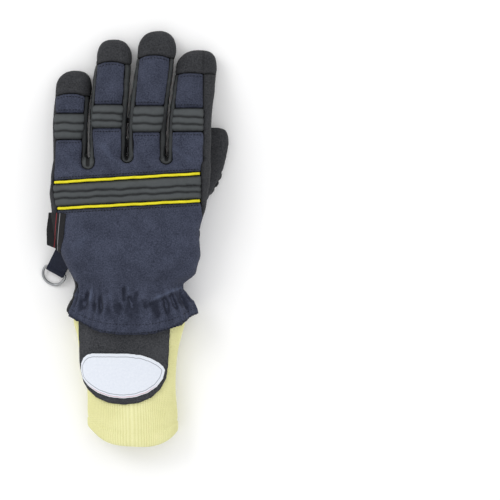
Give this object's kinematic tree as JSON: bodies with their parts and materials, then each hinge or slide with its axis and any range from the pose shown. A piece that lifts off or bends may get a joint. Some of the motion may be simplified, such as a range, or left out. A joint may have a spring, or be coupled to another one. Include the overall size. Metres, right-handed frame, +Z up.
{
  "type": "firefighter glove",
  "caption": "Left-hand firefighter glove with a flared gathered cuff, ribbed knuckle guard and finger pads, knitted wristlet, pull loop and a swinging D-ring on a webbing tab.",
  "frame": {"origin": "centre of the bounding box at the height of the surface that the glove rests on", "axes": "+X towards the thumb side, +Y towards the fingertips, +Z up, away from the back of the hand"},
  "size_m": [0.1472, 0.3248, 0.0463],
  "materials": {
    "navy_cloth": "woven twill, matt",
    "black_knit": "coated knit, matt and slightly rough",
    "grey_leather": "soft grained leather",
    "yellow_piping": "smooth coated piping",
    "rib_knit": "fine rib knit",
    "label_cloth": "woven label, satin",
    "black_tape": "woven tape",
    "webbing": "woven webbing",
    "steel": "polished wire"
  },
  "bodies": {
    "glove": {"upper_back": "navy_cloth", "lower_back": "navy_cloth", "thumb_base": "navy_cloth", "thumb_tip_back": "black_knit", "cap_pinky": "black_knit", "finger_back_pinky": "navy_cloth", "flex_pad_pinky": "grey_leather", "cap_ring": "black_knit", "finger_back_ring": "navy_cloth", "flex_pad_ring": "grey_leather", "cap_middle": "black_knit", "finger_back_middle": "navy_cloth", "flex_pad_middle": "grey_leather", "cap_index": "black_knit", "finger_back_index": "navy_cloth", "flex_pad_index": "grey_leather", "fourchette_pinky_ring": "grey_leather", "fourchette_ring_middle": "grey_leather", "fourchette_middle_index": "grey_leather", "knuckle_guard": "grey_leather", "piping_upper": "yellow_piping", "piping_lower": "yellow_piping", "thumb_pad": "grey_leather", "palm": "black_knit", "finger_front_pinky": "black_knit", "finger_front_ring": "black_knit", "finger_front_middle": "black_knit", "finger_front_index": "black_knit", "thumb_front": "black_knit", "wristlet": "rib_knit", "wrist_tab_back": "black_knit", "oval_label": "label_cloth", "wrist_tab_palm": "black_knit", "pull_loop": "black_tape", "side_label": "black_tape", "ring_tab": "webbing"},
    "ring": {"d_ring": "steel"}
  },
  "joints": [
    {"name": "ring_swing", "type": "hinge", "parent": "glove", "child": "ring", "pos_m": [-0.06207, -0.02511, 0.006], "axis": [0.8742, -0.4856, 0], "range_deg": [-140, 0]}
  ]
}
